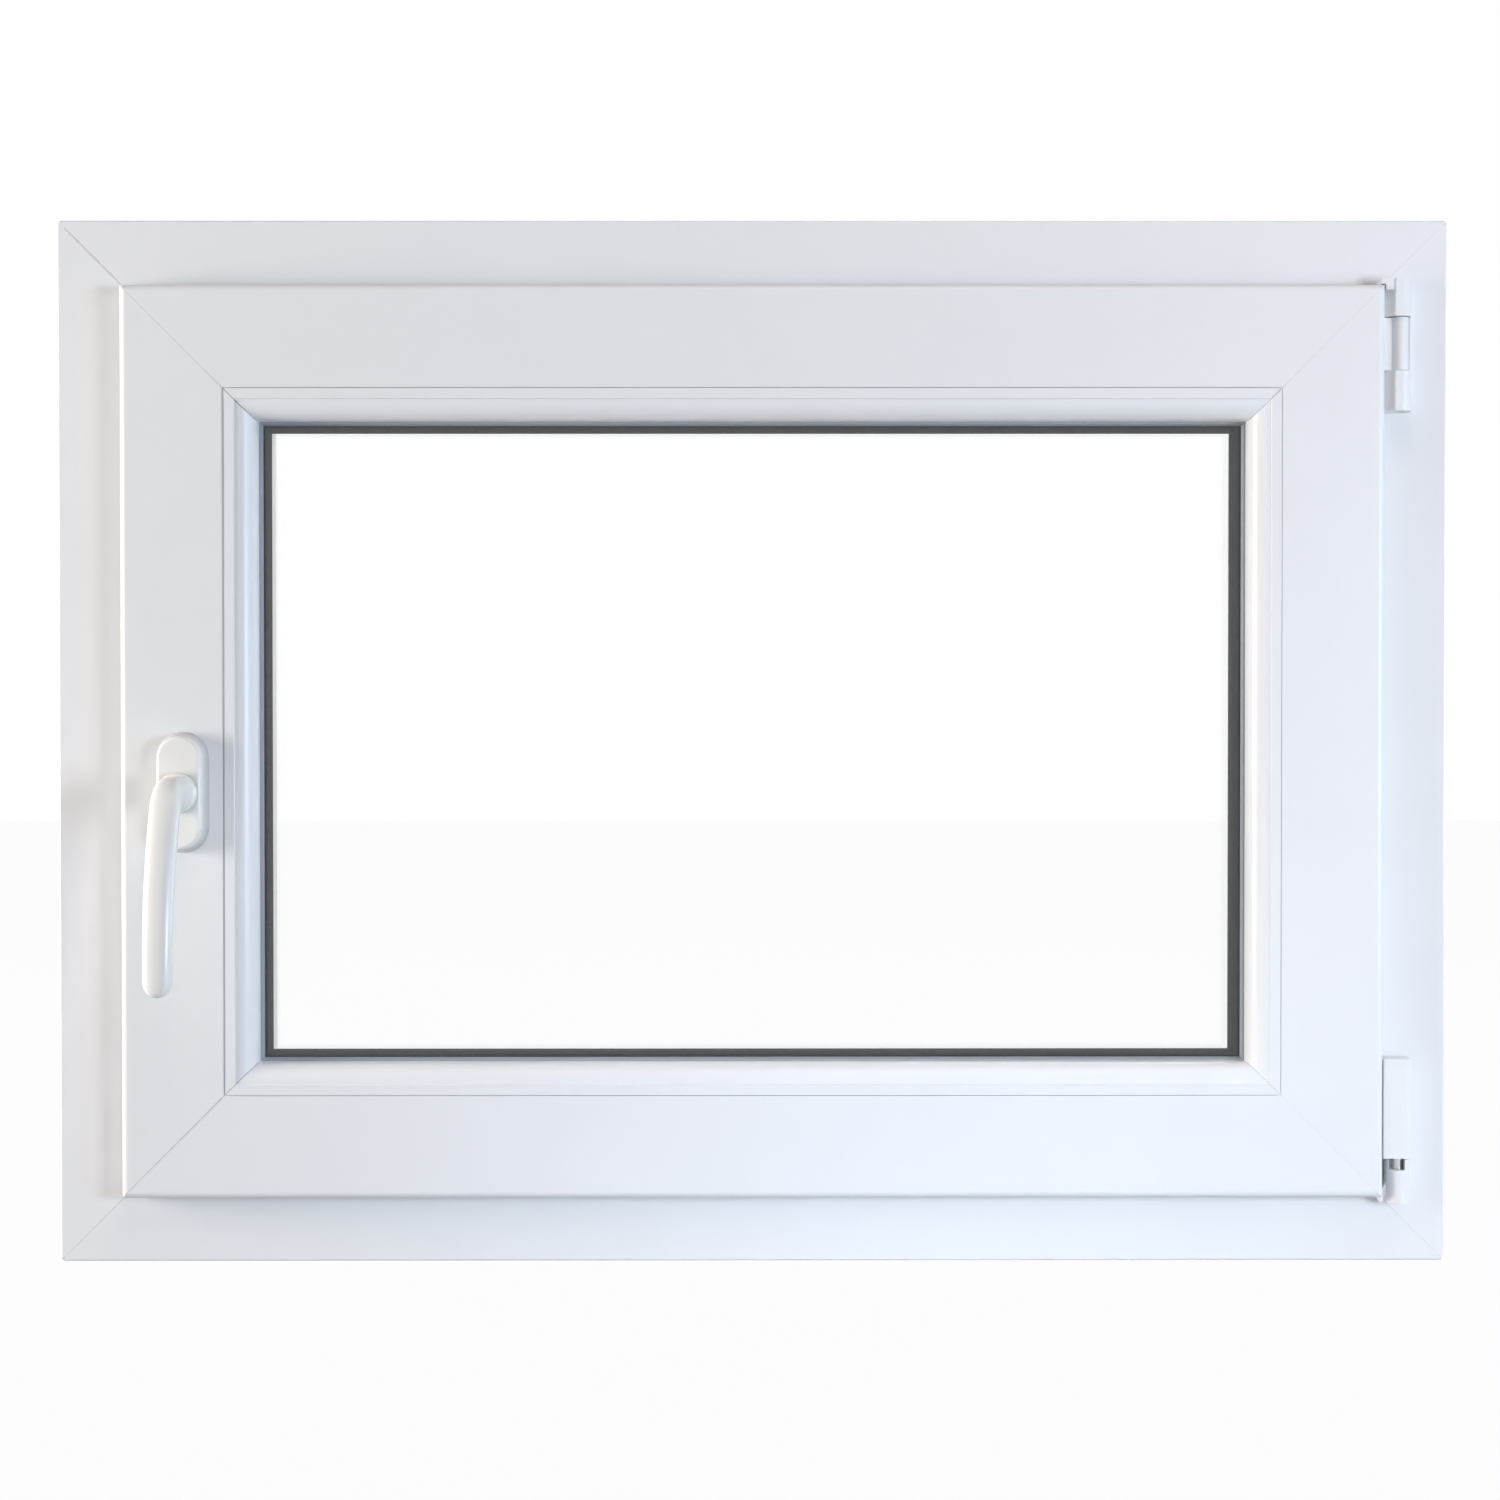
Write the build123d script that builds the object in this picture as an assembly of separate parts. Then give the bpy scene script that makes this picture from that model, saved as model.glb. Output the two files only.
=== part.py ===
"""White PVC tilt-and-turn window, 800 x 600 mm, one sash hung on its right-hand side.

Frame: millimetres, +X right as seen from the room, +Y to the outside, +Z up.
The origin is the middle of the sill's underside, half way through the frame's depth.
Every profile is drawn as a section: "u" runs inwards from the window's outer edge and
"v" runs along Y, from the room to the outside. A section is extruded, cut at 45 degrees
and turned to its side of the window.
"""
import os
from math import cos, radians, sin

from build123d import *

# Outer size of the window
FRAME_WIDTH = 800.0
FRAME_HEIGHT = 600.0

# Frame profile
FRAME_DEPTH = 70.0
FRAME_BODY = 47.0
FRAME_LIP_HEIGHT = 21.0
FRAME_LIP_DEPTH = 12.0
FRAME_LIP_SLOPE = 5.0
FRAME_EDGE_RADIUS = 1.2
FRAME_CORNER_CUT = 2.2
REBATE_FALL = 2.0
CLIP_GROOVE_OFFSET = 17.0
CLIP_GROOVE_MOUTH = 8.0
CLIP_GROOVE_DEPTH = 4.0
CLIP_GROOVE_UNDERCUT = 1.5

# Sash profile
SASH_DEPTH = 70.0
SASH_PROUD = 15.0
SASH_OVERLAP = 8.0
SASH_FLANGE = 20.0
SASH_FACE = 59.0
SASH_EDGE_RADIUS = 4.0
BEAD_JOINT_RADIUS = 0.6
SASH_LIP_HEIGHT = 19.5
SASH_LIP_DEPTH = 22.0
SASH_LIP_SLOPE = 7.0

# Walls and chambers of both profiles
OUTER_WALL = 3.0
INNER_WEB = 2.0
WELD_GROOVE = 0.4

# Seals
SEAL_WIDTH = 5.0
SEAL_INSET = 1.5
GLAZING_SEAL_OUTER = 4.0
GLAZING_SEAL_ROOM = 3.0
GLAZING_SEAL_HEIGHT = 13.0

# Glazing
PANE = 4.0
GLASS_CAVITY = 16.0
GLASS_CLEARANCE = 5.0
SPACER_HEIGHT = 13.5

# Glazing bead
BEAD_WIDTH = 17.5
BEAD_FLAT = 6.0
BEAD_STEP = 0.9
BEAD_RADIUS = 10.0
BEAD_SEAL_LIP = 2.0

# Handle
HANDLE_BACKSET = 36.0
HANDLE_HEIGHT = 271.5
ROSETTE_WIDTH = 30.0
ROSETTE_LENGTH = 69.0
ROSETTE_DEPTH = 11.0
ROSETTE_TAPER = 15.0
ROSETTE_EDGE = 1.0
HUB_DIAMETER = 23.0
HUB_DEPTH = 7.0
HUB_EDGE = 2.0
HUB_GAP = 0.4
JOURNAL_DIAMETER = 16.0
JOURNAL_CLEARANCE = 0.3
GRIP_LENGTH = 110.5
GRIP_STANDOFF = 60.5
GRIP_ROOT = 19.0
GRIP_WIDTH = 16.8
GRIP_THICKNESS = 11.5
GRIP_BEND = 66.0
GRIP_BEND_RADIUS = 21.0
GRIP_CROTCH_RADIUS = 14.0
GRIP_EDGE = 4.2

# Hinge line on the right-hand side
HINGE_OFFSET = 10.0
HINGE_STANDOFF = 6.8
HINGE_PLATE = 1.2
KNUCKLE_DIAMETER = 12.8
KNUCKLE_GAP = 0.5
HINGE_PIN_CLEARANCE = 0.1

# Upper hinge: stay bearing on the frame, stay knuckle on the sash
STAY_DROP = 35.4
STAY_UPPER = 21.8
STAY_MIDDLE = 30.2
STAY_LOWER = 23.2
STAY_WALL = 0.9
STAY_FLAT = 3.7
STAY_ARM_PROUD = 1.5
STAY_PIN_DIAMETER = 5.0
STAY_LUG_DROP = 2.8
STAY_LUG_REACH = 1.6
STAY_LUG_WIDTH = 6.6

# Lower hinge: capped corner hinge on the sash, corner bearing on the frame
CORNER_CAP_BOTTOM = 61.4
CORNER_CAP_LENGTH = 57.3
CORNER_CAP_RIGHT = 6.6
CORNER_CAP_FRONT = 7.2
CORNER_CAP_RADIUS = 3.5
CORNER_CAP_EDGE = 0.8
CORNER_CAP_BEVEL = 0.6
CORNER_PIN_DIAMETER = 5.6
CORNER_PIN_SEAT = 6.5
CORNER_PIN_GRIP = 25.0
BEARING_BOTTOM = 35.2
BEARING_DIAMETER = 12.8
BEARING_TOP_GAP = 1.0
BEARING_ROUND = 3.5
BEARING_NOTCH_HEIGHT = 6.0
BEARING_NOTCH_LEFT = 5.6
BEARING_NOTCH_RIGHT = 3.0
HEEL_REACH = 2.4
HEEL_NOSE = 2.0
HEEL_RISE = 9.0

# Drain caps on the outside of the sill
DRAIN_SPACING = 400.0
DRAIN_CAP_LENGTH = 42.0
DRAIN_CAP_HEIGHT = 15.0
DRAIN_CAP_DEPTH = 5.0
DRAIN_HEIGHT = 24.0
DRAIN_SLOT_LENGTH = 28.0
DRAIN_SLOT_HEIGHT = 5.0

# Places along u and v that several pieces share
FRAME_ROOM = -FRAME_DEPTH / 2
FRAME_OUT = FRAME_DEPTH / 2
FRAME_INNER = FRAME_BODY + FRAME_LIP_HEIGHT
LIP_FACE = FRAME_OUT - FRAME_LIP_DEPTH
SASH_EDGE = FRAME_BODY - SASH_OVERLAP
SASH_ROOM = FRAME_ROOM - SASH_PROUD
SASH_OUT = SASH_ROOM + SASH_DEPTH
SASH_BODY = SASH_EDGE + SASH_FLANGE
SEAL_GAP = LIP_FACE - SASH_OUT
FLANGE_BACK = FRAME_ROOM - SEAL_GAP
BEAD_LINE = SASH_EDGE + SASH_FACE
SASH_INNER = BEAD_LINE + SASH_LIP_HEIGHT
SASH_LIP_FACE = SASH_OUT - SASH_LIP_DEPTH
GLASS_OUT = SASH_LIP_FACE - GLAZING_SEAL_OUTER
GLASS_ROOM = GLASS_OUT - 2 * PANE - GLASS_CAVITY
GLASS_EDGE = BEAD_LINE + GLASS_CLEARANCE
BEAD_BACK = GLASS_ROOM - GLAZING_SEAL_ROOM
BEAD_INNER = BEAD_LINE + BEAD_WIDTH
HINGE_X = FRAME_WIDTH / 2 - SASH_EDGE + HINGE_OFFSET
HINGE_Y = FRAME_ROOM - HINGE_STANDOFF
SASH_SIDE_X = FRAME_WIDTH / 2 - SASH_EDGE


def section(points):
    """Closed outline from (u, v) points, as a face in the plane across a sill."""
    return make_face(Polyline(*[(v, u) for u, v in points], close=True))


def chamber(u_from, u_to, v_from, v_to):
    """Rectangular chamber between two pairs of walls."""
    room = Rectangle(v_to - v_from, u_to - u_from)
    return Pos((v_from + v_to) / 2, (u_from + u_to) / 2) * room


def rounded(face, point, radius):
    """The face with its corner nearest to the (u, v) point rounded."""
    u, v = point
    corner = face.vertices().sort_by_distance((v, u, 0))[0]
    return fillet(corner, radius)


def mitre_block(outer, length, v_from, v_to, reach, groove):
    """Wedge-ended block that cuts a bar at 45 degrees, its long edges bevelled for the weld."""
    half = length / 2
    plan = make_face(
        Polyline(
            (-half, outer),
            (half, outer),
            (half - reach, outer + reach),
            (-half + reach, outer + reach),
            close=True,
        )
    )
    block = extrude(Plane.XZ * plan, amount=v_to - v_from)
    block = Pos(0, v_to, 0) * block
    if groove > 0:
        slanted = [e for e in block.edges() if abs((e @ 1 - e @ 0).X * (e @ 1 - e @ 0).Z) > 1e-6]
        block = chamfer(slanted, groove)
    return block


def bar(face, outer, side, groove=0.0):
    """Section extruded along one side of the window and mitred at both ends."""
    along = FRAME_WIDTH if side in ("bottom", "top") else FRAME_HEIGHT
    length = along - 2 * outer
    solid = extrude(Plane.YZ * face, amount=length / 2, both=True)
    box = solid.bounding_box()
    reach = box.max.Z - outer
    solid = solid & mitre_block(outer, length, box.min.Y, box.max.Y, reach, groove)
    return side_place(side) * solid


def side_place(side):
    """Turns a bar drawn along the bottom to its own side of the window."""
    places = {
        "bottom": Pos(0, 0, 0),
        "left": Pos(-FRAME_WIDTH / 2, 0, FRAME_HEIGHT / 2) * Rot(0, 90, 0),
        "top": Pos(0, 0, FRAME_HEIGHT) * Rot(0, 180, 0),
        "right": Pos(FRAME_WIDTH / 2, 0, FRAME_HEIGHT / 2) * Rot(0, -90, 0),
    }
    return places[side]


def ring(face, outer):
    """One closed seal round the window: four mitred strips welded at the corners."""
    strips = [bar(face, outer, side) for side in ("bottom", "left", "top", "right")]
    return strips[0] + strips[1:]


def frame_section():
    """Hollow frame profile: body, sloped rebate floor, outer stop lip and clip grooves."""
    floor = FRAME_BODY - REBATE_FALL
    face = section(
        [
            (0, FRAME_ROOM),
            (FRAME_BODY, FRAME_ROOM),
            (FRAME_BODY, FRAME_ROOM + OUTER_WALL),
            (floor, LIP_FACE),
            (FRAME_INNER, LIP_FACE),
            (FRAME_INNER, LIP_FACE + FRAME_LIP_DEPTH / 3),
            (FRAME_INNER - FRAME_LIP_SLOPE, FRAME_OUT),
            (0, FRAME_OUT),
        ]
    )
    for edge in (FRAME_ROOM, FRAME_OUT):
        face = rounded(face, (0, edge), FRAME_EDGE_RADIUS)
    for middle in (-CLIP_GROOVE_OFFSET, CLIP_GROOVE_OFFSET):
        mouth = CLIP_GROOVE_MOUTH / 2
        seat = mouth + CLIP_GROOVE_UNDERCUT
        face -= section(
            [
                (0, middle - mouth),
                (0, middle + mouth),
                (CLIP_GROOVE_DEPTH, middle + seat),
                (CLIP_GROOVE_DEPTH, middle - seat),
            ]
        )
    low = CLIP_GROOVE_DEPTH + OUTER_WALL
    high = floor - OUTER_WALL
    steel_half = CLIP_GROOVE_OFFSET - CLIP_GROOVE_MOUTH / 2
    face -= chamber(low, high, FRAME_ROOM + OUTER_WALL, -steel_half - INNER_WEB)
    face -= chamber(low, high, -steel_half, steel_half - INNER_WEB)
    face -= chamber(low, high, steel_half, LIP_FACE - INNER_WEB)
    lip_top = FRAME_INNER - FRAME_LIP_SLOPE - OUTER_WALL
    face -= chamber(low, lip_top, LIP_FACE + INNER_WEB, FRAME_OUT - OUTER_WALL)
    return face


def sash_section():
    """Hollow sash profile: overlap flange with a rounded edge, body and outer glazing lip."""
    face = section(
        [
            (SASH_EDGE, SASH_ROOM),
            (BEAD_LINE, SASH_ROOM),
            (BEAD_LINE, SASH_LIP_FACE),
            (SASH_INNER, SASH_LIP_FACE),
            (SASH_INNER, SASH_OUT - SASH_LIP_DEPTH / 2),
            (SASH_INNER - SASH_LIP_SLOPE, SASH_OUT),
            (SASH_BODY, SASH_OUT),
            (SASH_BODY, FLANGE_BACK),
            (SASH_EDGE, FLANGE_BACK),
        ]
    )
    face = rounded(face, (SASH_EDGE, SASH_ROOM), SASH_EDGE_RADIUS)
    face = rounded(face, (BEAD_LINE, SASH_ROOM), BEAD_JOINT_RADIUS)
    inner = BEAD_LINE - OUTER_WALL
    outer = SASH_BODY + OUTER_WALL
    front = FLANGE_BACK - OUTER_WALL
    face -= chamber(SASH_EDGE + SASH_EDGE_RADIUS, inner, SASH_ROOM + OUTER_WALL, front)
    back = SASH_LIP_FACE - INNER_WEB
    face -= chamber(outer, inner, front + INNER_WEB, back)
    lip_top = SASH_INNER - SASH_LIP_SLOPE - OUTER_WALL
    face -= chamber(outer, lip_top, SASH_LIP_FACE + OUTER_WALL, SASH_OUT - OUTER_WALL)
    return face


def bead_section():
    """Clip-in glazing bead: flat beside the sash, a small shoulder, then a quarter round."""
    shoulder = BEAD_INNER - BEAD_RADIUS
    step = SASH_ROOM + BEAD_STEP
    outline = [
        Polyline(
            (BEAD_BACK, BEAD_INNER),
            (BEAD_BACK, BEAD_LINE),
            (SASH_ROOM, BEAD_LINE),
            (SASH_ROOM, BEAD_LINE + BEAD_FLAT),
            (step, BEAD_LINE + BEAD_FLAT + BEAD_STEP / 2),
            (step, shoulder),
        ),
        RadiusArc((step, shoulder), (step + BEAD_RADIUS, BEAD_INNER), BEAD_RADIUS),
        Line((step + BEAD_RADIUS, BEAD_INNER), (BEAD_BACK, BEAD_INNER)),
    ]
    return rounded(make_face(outline), (BEAD_LINE, SASH_ROOM), BEAD_JOINT_RADIUS)


def seal_section(u_from, u_to, v_from, v_to, lip):
    """Rubber strip with its free edge bevelled to a lip."""
    return section([(u_from, v_from), (u_to - lip, v_from), (u_to, v_to), (u_from, v_to)])


def frame_pieces():
    """Four welded frame bars, their corners trimmed; the sill has drain slots through its outer wall."""
    face = frame_section()
    outline = Rectangle(FRAME_WIDTH, FRAME_HEIGHT)
    outline = chamfer(outline.vertices(), FRAME_CORNER_CUT)
    shape = extrude(Plane.XZ * Pos(0, FRAME_HEIGHT / 2) * outline, amount=FRAME_DEPTH / 2, both=True)
    sill = bar(face, 0, "bottom", WELD_GROOVE) & shape
    slot = extrude(Plane.XZ * SlotOverall(DRAIN_SLOT_LENGTH, DRAIN_SLOT_HEIGHT), amount=-OUTER_WALL)
    for x in (-DRAIN_SPACING / 2, DRAIN_SPACING / 2):
        sill -= Pos(x, FRAME_OUT - OUTER_WALL, DRAIN_HEIGHT) * slot
    stop_from = FRAME_INNER - SEAL_INSET - SEAL_WIDTH
    stop = seal_section(stop_from, FRAME_INNER - SEAL_INSET, SASH_OUT, LIP_FACE, 0)
    return {
        "frame_sill": sill,
        "frame_head": bar(face, 0, "top", WELD_GROOVE) & shape,
        "frame_left_jamb": bar(face, 0, "left", WELD_GROOVE) & shape,
        "frame_right_jamb": bar(face, 0, "right", WELD_GROOVE) & shape,
        "frame_stop_seal": ring(stop, stop_from),
    }


def sash_pieces():
    """Four welded sash bars and the seal behind their overlap."""
    face = sash_section()
    seal_from = SASH_EDGE + SEAL_INSET
    seal = seal_section(seal_from, seal_from + SEAL_WIDTH, FLANGE_BACK, FRAME_ROOM, 0)
    return {
        "sash_bottom_rail": bar(face, SASH_EDGE, "bottom", WELD_GROOVE),
        "sash_top_rail": bar(face, SASH_EDGE, "top", WELD_GROOVE),
        "sash_handle_stile": bar(face, SASH_EDGE, "left", WELD_GROOVE),
        "sash_hinge_stile": bar(face, SASH_EDGE, "right", WELD_GROOVE),
        "sash_overlap_seal": ring(seal, seal_from),
    }


def glazing_pieces():
    """Double glazing unit, its seals and the four beads that hold it from the room."""
    width = FRAME_WIDTH - 2 * GLASS_EDGE
    height = FRAME_HEIGHT - 2 * GLASS_EDGE
    centre = FRAME_HEIGHT / 2
    pane = Box(width, PANE, height)
    cavity_from = GLASS_ROOM + PANE
    cavity_to = cavity_from + GLASS_CAVITY
    spacer = section(
        [
            (GLASS_EDGE, cavity_from),
            (GLASS_EDGE + SPACER_HEIGHT, cavity_from),
            (GLASS_EDGE + SPACER_HEIGHT, cavity_to),
            (GLASS_EDGE, cavity_to),
        ]
    )
    room_to = BEAD_INNER + BEAD_SEAL_LIP
    room_from = room_to - GLAZING_SEAL_HEIGHT
    room_seal = seal_section(room_from, room_to, BEAD_BACK, GLASS_ROOM, BEAD_SEAL_LIP / 2)
    out_from = SASH_INNER - GLAZING_SEAL_HEIGHT
    out_seal = seal_section(out_from, SASH_INNER, GLASS_OUT, SASH_LIP_FACE, 0)
    bead = bead_section()
    return {
        "glass_room_pane": Pos(0, GLASS_ROOM + PANE / 2, centre) * pane,
        "glass_outer_pane": Pos(0, GLASS_OUT - PANE / 2, centre) * pane,
        "glass_spacer": ring(spacer, GLASS_EDGE),
        "glazing_seal_room": ring(room_seal, room_from),
        "glazing_seal_outer": ring(out_seal, out_from),
        "bead_bottom": bar(bead, BEAD_LINE, "bottom", WELD_GROOVE / 2),
        "bead_top": bar(bead, BEAD_LINE, "top", WELD_GROOVE / 2),
        "bead_left": bar(bead, BEAD_LINE, "left", WELD_GROOVE / 2),
        "bead_right": bar(bead, BEAD_LINE, "right", WELD_GROOVE / 2),
    }


def handle_pieces():
    """Rosette on the sash and the cranked lever that turns in it."""
    axis = Pos(-FRAME_WIDTH / 2 + SASH_EDGE + HANDLE_BACKSET, SASH_ROOM, HANDLE_HEIGHT)
    outline = Plane.XZ * Rot(0, 0, 90) * SlotOverall(ROSETTE_LENGTH, ROSETTE_WIDTH)
    plate = extrude(outline, amount=ROSETTE_DEPTH, taper=ROSETTE_TAPER)
    plate = chamfer(plate.faces().sort_by(Axis.Y)[0].edges(), ROSETTE_EDGE)
    bore = Plane.XZ * Circle(JOURNAL_DIAMETER / 2 + JOURNAL_CLEARANCE)
    rosette = plate - extrude(bore, amount=ROSETTE_DEPTH)
    return {"handle_rosette": axis * rosette, "handle_lever": axis * handle_lever()}


def handle_lever():
    """Cranked grip on a round hub: the side profile crossed with the front outline, edges rounded."""
    base = ROSETTE_DEPTH + HUB_GAP
    root = base + HUB_DEPTH - HUB_EDGE
    across_x = Plane(origin=(0, 0, 0), x_dir=(0, -1, 0), z_dir=(-1, 0, 0))
    side = extrude(across_x * lever_profile(root), amount=GRIP_ROOT, both=True)
    front = extrude(Plane.XZ * lever_outline(), amount=2 * GRIP_STANDOFF)
    grip = side & front
    grip = fillet([e for e in grip.edges() if runs_along_grip(e, root)], GRIP_EDGE)
    hub = extrude(Plane.XZ.offset(base) * Circle(HUB_DIAMETER / 2), amount=HUB_DEPTH)
    hub = chamfer(hub.faces().sort_by(Axis.Y)[0].edges(), HUB_EDGE)
    journal = extrude(Plane.XZ.offset(HUB_GAP) * Circle(JOURNAL_DIAMETER / 2), amount=ROSETTE_DEPTH)
    return grip + hub + journal


def lever_profile(root):
    """Lever from the side, as (distance from the sash, height): out of the hub, bent down in two arcs."""
    half = GRIP_ROOT / 2
    turn = radians(GRIP_BEND)
    face = GRIP_STANDOFF + GRIP_THICKNESS / 2
    straight = GRIP_WIDTH / 2 + GRIP_EDGE
    arc_end = GRIP_LENGTH - straight
    fall = arc_end + half - GRIP_BEND_RADIUS * (1 - cos(turn))
    sweep_radius = fall / cos(turn)
    bend_from = face - sweep_radius * (1 - sin(turn)) - GRIP_BEND_RADIUS * sin(turn)
    back_radius = sweep_radius - GRIP_THICKNESS
    back_face = face - GRIP_THICKNESS
    crotch = face - sweep_radius + (back_radius**2 - (arc_end - half) ** 2) ** 0.5
    top = Line((root, half), (bend_from, half))
    bend = JernArc(top @ 1, (1, 0), GRIP_BEND_RADIUS, -GRIP_BEND)
    front = JernArc(bend @ 1, bend % 1, sweep_radius, GRIP_BEND - 90)
    end = Polyline(front @ 1, (face, -GRIP_LENGTH), (back_face, -GRIP_LENGTH), (back_face, -arc_end))
    back = RadiusArc(end @ 1, (crotch, -half), back_radius)
    under = Polyline((crotch, -half), (root, -half), (root, half))
    profile = make_face([top, bend, front, end, back, under])
    corner = profile.vertices().sort_by_distance((crotch, -half, 0))[0]
    return fillet(corner, GRIP_CROTCH_RADIUS)


def lever_outline():
    """Lever from the front: straight sides and a half-round tip."""
    tip = GRIP_WIDTH / 2
    high = GRIP_ROOT / 2 + HUB_EDGE
    low = tip - GRIP_LENGTH
    sides = Polyline((-tip, low), (-tip, high), (tip, high), (tip, low))
    return make_face([sides, RadiusArc((tip, low), (-tip, low), tip)])


def runs_along_grip(edge, root):
    """True for the lever's long edges, which run neither straight across nor straight out."""
    run = edge @ 1 - edge @ 0
    straight = max(abs(run.X), abs(run.Y)) > edge.length * 0.999
    return not straight and edge.center().Y < -root


def block(x_from, x_to, y_from, y_to, z_from, z_to):
    """Box between two opposite corners."""
    box = Box(x_to - x_from, y_to - y_from, z_to - z_from, align=(Align.MIN, Align.MIN, Align.MIN))
    return Pos(x_from, y_from, z_from) * box


def hinge_round(radius, z_from, z_to):
    """Cylinder on the hinge line."""
    barrel = Cylinder(radius, z_to - z_from, align=(Align.CENTER, Align.CENTER, Align.MIN))
    return Pos(HINGE_X, HINGE_Y, z_from) * barrel


def upper_hinge():
    """Stay bearing screwed to the frame, stay knuckle from the sash and the pin through both."""
    radius = KNUCKLE_DIAMETER / 2
    front = HINGE_Y - radius
    top = FRAME_HEIGHT - STAY_DROP
    middle_top = top - STAY_UPPER
    middle_low = middle_top - STAY_MIDDLE
    low = middle_low - STAY_LOWER
    plate_front = FRAME_ROOM - HINGE_PLATE
    edge = SASH_SIDE_X + KNUCKLE_GAP
    right = HINGE_X + radius
    bearing = block(edge, right, plate_front, FRAME_ROOM, low, top)
    bearing += block(right - STAY_WALL, right, HINGE_Y, FRAME_ROOM, low, top)
    for z_from, z_to in ((middle_top + KNUCKLE_GAP, top), (low, middle_low - KNUCKLE_GAP)):
        bearing += hinge_round(radius, z_from, z_to)
        bearing += bearing_web(edge, front, z_from, z_to)
        bearing += block(HINGE_X, right, HINGE_Y, FRAME_ROOM, z_from, z_to)
    sash_top = FRAME_HEIGHT - SASH_EDGE
    lug_from = SASH_SIDE_X - STAY_LUG_REACH
    lug_to = lug_from + STAY_LUG_WIDTH
    bearing += block(lug_from, lug_to, front, FRAME_ROOM, sash_top + KNUCKLE_GAP, top)
    bearing += block(edge, lug_to, front, FRAME_ROOM, sash_top - STAY_LUG_DROP, top)
    arm_front = HINGE_Y - STAY_ARM_PROUD
    stay = hinge_round(radius - STAY_WALL - KNUCKLE_GAP, middle_low, middle_top)
    stay += block(SASH_SIDE_X, HINGE_X, arm_front, plate_front - KNUCKLE_GAP, middle_low, middle_top)
    hole = hinge_round(STAY_PIN_DIAMETER / 2 + HINGE_PIN_CLEARANCE, low, top)
    pin = hinge_round(STAY_PIN_DIAMETER / 2, low, top)
    return {"stay_bearing": bearing - hole, "stay_knuckle": stay - hole, "stay_pin": pin}


def bearing_web(edge, front, z_from, z_to):
    """Web from the bearing's barrel towards the sash: a short flat, then falling away at 45 degrees."""
    flat_from = HINGE_X - STAY_FLAT
    plan = make_face(
        Polyline(
            (HINGE_X, FRAME_ROOM),
            (HINGE_X, front),
            (flat_from, front),
            (edge, front + flat_from - edge),
            (edge, FRAME_ROOM),
            close=True,
        )
    )
    return Pos(0, 0, z_from) * extrude(plan, amount=z_to - z_from)


def lower_hinge():
    """Capped hinge sleeve on the sash, its pin, and the bearing on the frame that carries it."""
    right = HINGE_X + CORNER_CAP_RIGHT
    front = HINGE_Y - CORNER_CAP_FRONT
    plan = Rectangle(right - SASH_SIDE_X, FLANGE_BACK - front)
    plan = Pos((SASH_SIDE_X + right) / 2, (front + FLANGE_BACK) / 2) * plan
    for x, radius in ((right, CORNER_CAP_RADIUS), (SASH_SIDE_X, CORNER_CAP_EDGE)):
        plan = fillet(plan.vertices().sort_by_distance((x, front, 0))[0], radius)
    cap = extrude(plan, amount=CORNER_CAP_LENGTH)
    cap = chamfer(cap.faces().sort_by(Axis.Z)[-1].edges(), CORNER_CAP_BEVEL)
    cap = Pos(0, 0, CORNER_CAP_BOTTOM) * cap
    pin_low = BEARING_BOTTOM + CORNER_PIN_SEAT
    pin_top = CORNER_CAP_BOTTOM + CORNER_PIN_GRIP
    hole = hinge_round(CORNER_PIN_DIAMETER / 2 + HINGE_PIN_CLEARANCE, pin_low, pin_top)
    pin = hinge_round(CORNER_PIN_DIAMETER / 2, pin_low, pin_top)
    return {
        "corner_hinge_cap": cap - hole,
        "corner_hinge_pin": pin,
        "corner_bearing": corner_bearing() - hole,
    }


def corner_bearing():
    """Bearing block with a round cup, a heel under the sash's corner and a notch that shows the pin."""
    radius = BEARING_DIAMETER / 2
    top = CORNER_CAP_BOTTOM - BEARING_TOP_GAP
    heel_top = SASH_EDGE - KNUCKLE_GAP
    heel_left = SASH_SIDE_X - HEEL_REACH
    edge = SASH_SIDE_X + KNUCKLE_GAP
    outline = make_face(
        Polyline(
            (HINGE_X + radius, top),
            (HINGE_X - radius, top),
            (HINGE_X - radius, heel_top + HEEL_RISE),
            (edge, heel_top + HEEL_NOSE),
            (edge, heel_top),
            (heel_left, heel_top),
            (heel_left + HEEL_NOSE, BEARING_BOTTOM),
            (HINGE_X + radius, BEARING_BOTTOM),
            close=True,
        )
    )
    corner = outline.vertices().sort_by_distance((HINGE_X + radius, BEARING_BOTTOM, 0))[0]
    outline = fillet(corner, BEARING_ROUND)
    bearing = Pos(0, FRAME_ROOM, 0) * extrude(Plane.XZ * outline, amount=HINGE_STANDOFF + radius)
    cup = hinge_round(radius, BEARING_BOTTOM, top)
    bearing &= cup + block(heel_left, HINGE_X + radius, HINGE_Y, FRAME_ROOM, BEARING_BOTTOM, top)
    notch_back = HINGE_Y + CORNER_PIN_DIAMETER / 2 + KNUCKLE_GAP
    bearing -= block(
        HINGE_X - BEARING_NOTCH_LEFT,
        HINGE_X + BEARING_NOTCH_RIGHT,
        HINGE_Y - radius,
        notch_back,
        top - BEARING_NOTCH_HEIGHT,
        top,
    )
    return bearing


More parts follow.
